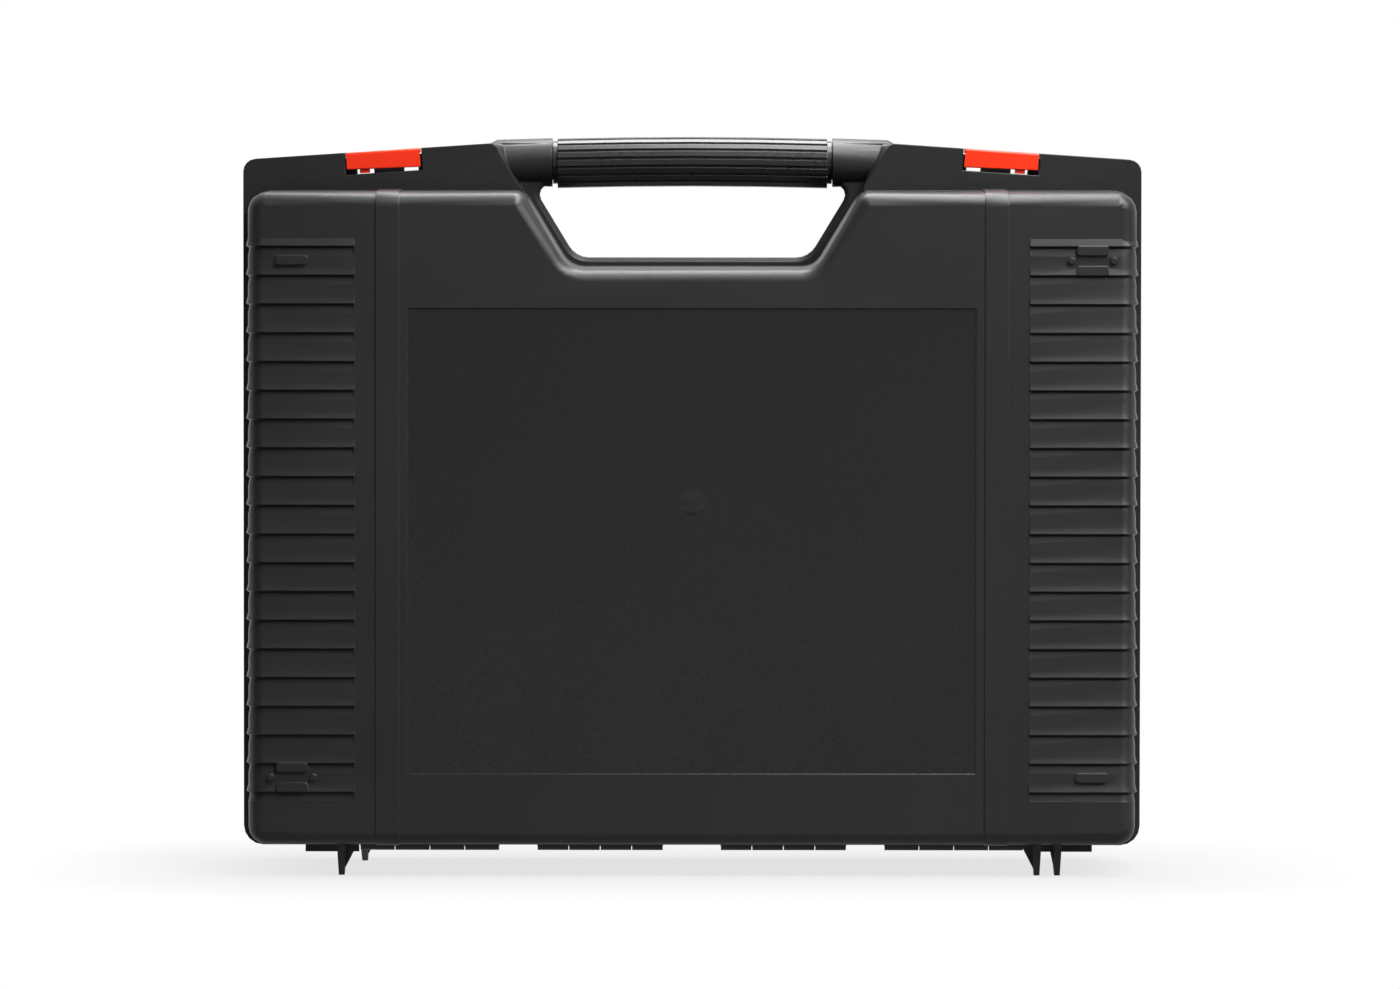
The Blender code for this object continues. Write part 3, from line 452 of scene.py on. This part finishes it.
def gate_mark():
    """Low mark on the label panel where the plastic entered the mould, with its lower half raised."""
    count = GATE_SIDES
    verts = []
    for radius, height in GATE_RINGS:
        for i in range(count):
            turn = 2 * math.pi * i / count
            out = radius * (1 + GATE_LOBE_SIZE * math.sin(GATE_LOBES * turn + GATE_LOBE_TURN))
            low = max(0.0, -out * math.sin(turn)) if height > 0 else 0.0
            raised = LABEL_Y + height + GATE_TILT * low
            verts.append((GATE_X + out * math.cos(turn), -raised, GATE_Z + out * math.sin(turn)))
    faces = []
    last = len(GATE_RINGS) - 1
    for ring in range(last):
        a, b = ring * count, (ring + 1) * count
        for i in range(count):
            j = (i + 1) % count
            faces.append((a + i, a + j, b + j, b + i))
    faces.append(tuple(last * count + i for i in range(count)))
    faces.append(tuple(reversed(range(count))))
    mark = new_piece("gate_mark", verts, faces, GATE_SHARP, gate_look)
    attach(mark, "lid")


def body_ring(drawn_in):
    """Corners (x, z, radius) of the body's outline on the parting plane, drawn in by a distance."""

    def slant(z):
        away = (HOLE_FRAME + drawn_in) / math.cos(HOLE_SLANT)
        return HOLE_HALF + (z - HOLE_Z) * math.tan(HOLE_SLANT) + away

    side = BODY_HALF - drawn_in
    low = BODY_LOW + drawn_in
    top = BODY_TOP - drawn_in
    notch = HOLE_Z - HOLE_FRAME - drawn_in
    right = [
        (side, low, BODY_CORNER - drawn_in),
        (side, top, BODY_CORNER - drawn_in),
        (slant(top), top, NOTCH_TOP_CORNER - drawn_in),
        (slant(notch), notch, NOTCH_LOW_CORNER + drawn_in),
    ]
    return right + [(-x, z, radius) for x, z, radius in reversed(right)]


def rounded(corners, steps):
    """Points of a closed outline with each corner rounded."""
    points = []
    for i, (x, z, radius) in enumerate(corners):
        here = Vector((x, z))
        before = (Vector(corners[i - 1][:2]) - here).normalized()
        after = (Vector(corners[(i + 1) % len(corners)][:2]) - here).normalized()
        half = before.angle(after) / 2
        centre = here + (before + after).normalized() * radius / math.sin(half)
        start = here + before * radius / math.tan(half) - centre
        end = here + after * radius / math.tan(half) - centre
        for step in range(steps + 1):
            arm = start.lerp(end, step / steps).normalized() * radius
            points.append(centre + arm)
    return points


def seal_lip():
    """Thin tongue round the rear half's mouth, which closes the seam between the halves."""
    outer = WALL + LIP_GAP
    inner = outer + LIP_THICKNESS
    nose = -LIP_REACH + 2 * LIP_NOSE
    rows = (
        (outer + LIP_NOSE, -LIP_REACH),
        (outer, nose),
        (outer, LIP_GAP),
        (WALL - LIP_GAP, 2 * LIP_GAP),
        (WALL - LIP_GAP, LIP_ROOT),
        (inner, LIP_ROOT + LIP_THICKNESS),
        (inner, nose),
        (inner - LIP_NOSE, -LIP_REACH),
    )
    verts = []
    for drawn_in, y in rows:
        verts += [(point.x, y, point.y) for point in rounded(body_ring(drawn_in), LIP_CORNER_STEPS)]
    count = len(verts) // len(rows)
    faces = []
    for row in range(len(rows)):
        a, b = row * count, (row + 1) % len(rows) * count
        for i in range(count):
            j = (i + 1) % count
            faces.append((a + i, b + i, b + j, a + j))
    lip = new_piece("seal_lip", verts, faces, LIP_SHARP, shell_look)
    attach(lip, "rear")


gate_mark()
seal_lip()


# Studio


def seen_directly(tree):
    """The light path, and 1 for rays from the camera and for mirror and glass rays."""
    path = add(tree, "ShaderNodeLightPath")
    seen = math_node(tree, "MAXIMUM", path.outputs["Is Camera Ray"], path.outputs["Is Glossy Ray"])
    return path, math_node(tree, "MAXIMUM", seen, path.outputs["Is Transmission Ray"])


def studio_world():
    """White sweep behind the object, pale far floor all round it, and a dimmer room in front."""
    world = bpy.data.worlds.new("studio")
    scene.world = world
    world.use_nodes = True
    tree = world.node_tree
    tree.nodes.clear()
    output = add(tree, "ShaderNodeOutputWorld")
    light = add(tree, "ShaderNodeBackground")
    light.inputs["Color"].default_value = (1, 1, 1, 1)
    path, seen = seen_directly(tree)
    turn = split(tree, add(tree, "ShaderNodeTexCoord").outputs["Generated"])
    behind = remap(tree, turn["Y"], *SWEEP_EDGES, ROOM_LIGHT, 1.0)
    far_floor = math_node(tree, "MULTIPLY", within(tree, turn["Z"], *FAR_FLOOR_BAND), FAR_FLOOR)
    sweep = math_node(tree, "MAXIMUM", behind, far_floor)
    sweep = math_node(tree, "MAXIMUM", sweep, path.outputs["Is Camera Ray"])
    strength = add(tree, "ShaderNodeMix", data_type="FLOAT")
    tree.links.new(seen, strength.inputs["Factor"])
    strength.inputs["A"].default_value = SOFT_LIGHT
    tree.links.new(sweep, strength.inputs["B"])
    tree.links.new(strength.outputs["Result"], light.inputs["Strength"])
    tree.links.new(light.outputs[0], output.inputs["Surface"])


def area_light(name, at, aim, size, watts):
    lamp = bpy.data.lights.new(name, "AREA")
    lamp.shape = "RECTANGLE"
    lamp.size, lamp.size_y = size
    lamp.energy = watts
    made = bpy.data.objects.new(name, lamp)
    scene.collection.objects.link(made)
    made.location = at
    made.rotation_euler = (Vector(aim) - Vector(at)).to_track_quat("-Z", "Y").to_euler()
    return lamp


def beyond_core(tree, place):
    """Distance on the floor from the rectangle under the case."""
    squares = []
    for value, half in zip(split(tree, place), FLOOR_CORE):
        beyond = math_node(tree, "SUBTRACT", math_node(tree, "ABSOLUTE", value), half)
        squares.append(math_node(tree, "POWER", math_node(tree, "MAXIMUM", beyond, 0.0), 2.0))
    return math_node(tree, "SQRT", math_node(tree, "ADD", *squares))


def floor_paper():
    """White paper that keeps the object's shadow and turns clear away from it."""
    made, tree, shader = node_material("floor_paper")
    output = tree.nodes["Material Output"]
    shader.inputs["Roughness"].default_value = FLOOR_ROUGH
    shader.inputs["Specular IOR Level"].default_value = FLOOR_GLOSS
    glow = add(tree, "ShaderNodeEmission")
    clear = add(tree, "ShaderNodeBsdfTransparent")
    path, seen = seen_directly(tree)
    paper = mixed_colour(tree, path.outputs["Is Camera Ray"], FLOOR_BOUNCE, FLOOR_PAPER)
    tree.links.new(paper, shader.inputs["Base Color"])
    lit = add(tree, "ShaderNodeMixShader")
    camera_share = math_node(tree, "MULTIPLY", path.outputs["Is Camera Ray"], FLOOR_WHITE)
    mirror_share = math_node(tree, "MULTIPLY", seen, FLOOR_MIRRORED)
    tree.links.new(math_node(tree, "MAXIMUM", camera_share, mirror_share), lit.inputs[0])
    tree.links.new(shader.outputs[0], lit.inputs[1])
    tree.links.new(glow.outputs[0], lit.inputs[2])
    away = beyond_core(tree, add(tree, "ShaderNodeTexCoord").outputs["Object"])
    fade = add(tree, "ShaderNodeMixShader")
    tree.links.new(remap(tree, away, *FLOOR_FADE), fade.inputs[0])
    tree.links.new(lit.outputs[0], fade.inputs[1])
    tree.links.new(clear.outputs[0], fade.inputs[2])
    tree.links.new(fade.outputs[0], output.inputs["Surface"])
    return made


def pale_floor():
    """Round floor at the level of the feet."""
    mesh = bpy.data.meshes.new("floor")
    turns = [2 * math.pi * i / FLOOR_SIDES for i in range(FLOOR_SIDES)]
    rim = [(FLOOR_RADIUS * math.cos(turn), FLOOR_RADIUS * math.sin(turn), 0) for turn in turns]
    mesh.from_pydata(rim, [], [tuple(range(FLOOR_SIDES))])
    mesh.materials.append(floor_paper())
    floor = bpy.data.objects.new("floor", mesh)
    scene.collection.objects.link(floor)


def photo_camera():
    """Camera at the photo's place and angle."""
    data = bpy.data.cameras.new("camera")
    data.lens = LENS
    data.sensor_width = SENSOR
    data.clip_end = CAMERA_FAR
    camera = bpy.data.objects.new("camera", data)
    scene.collection.objects.link(camera)
    camera.location = CAMERA_AT
    pitched = Euler((math.pi / 2 - CAMERA_PITCH, 0, 0)).to_matrix()
    rolled = Euler((0, 0, CAMERA_ROLL)).to_matrix()
    camera.rotation_euler = (pitched @ rolled).to_euler()
    scene.camera = camera


studio_world()
pale_floor()
area_light("overhead", OVERHEAD_AT, OVERHEAD_AIM, OVERHEAD_SIZE, OVERHEAD_WATTS)
side_lamp = area_light("side", SIDE_AT, SIDE_AIM, SIDE_SIZE, SIDE_WATTS)
side_lamp.spread = SIDE_SPREAD
photo_camera()
scene.view_settings.view_transform = "Standard"
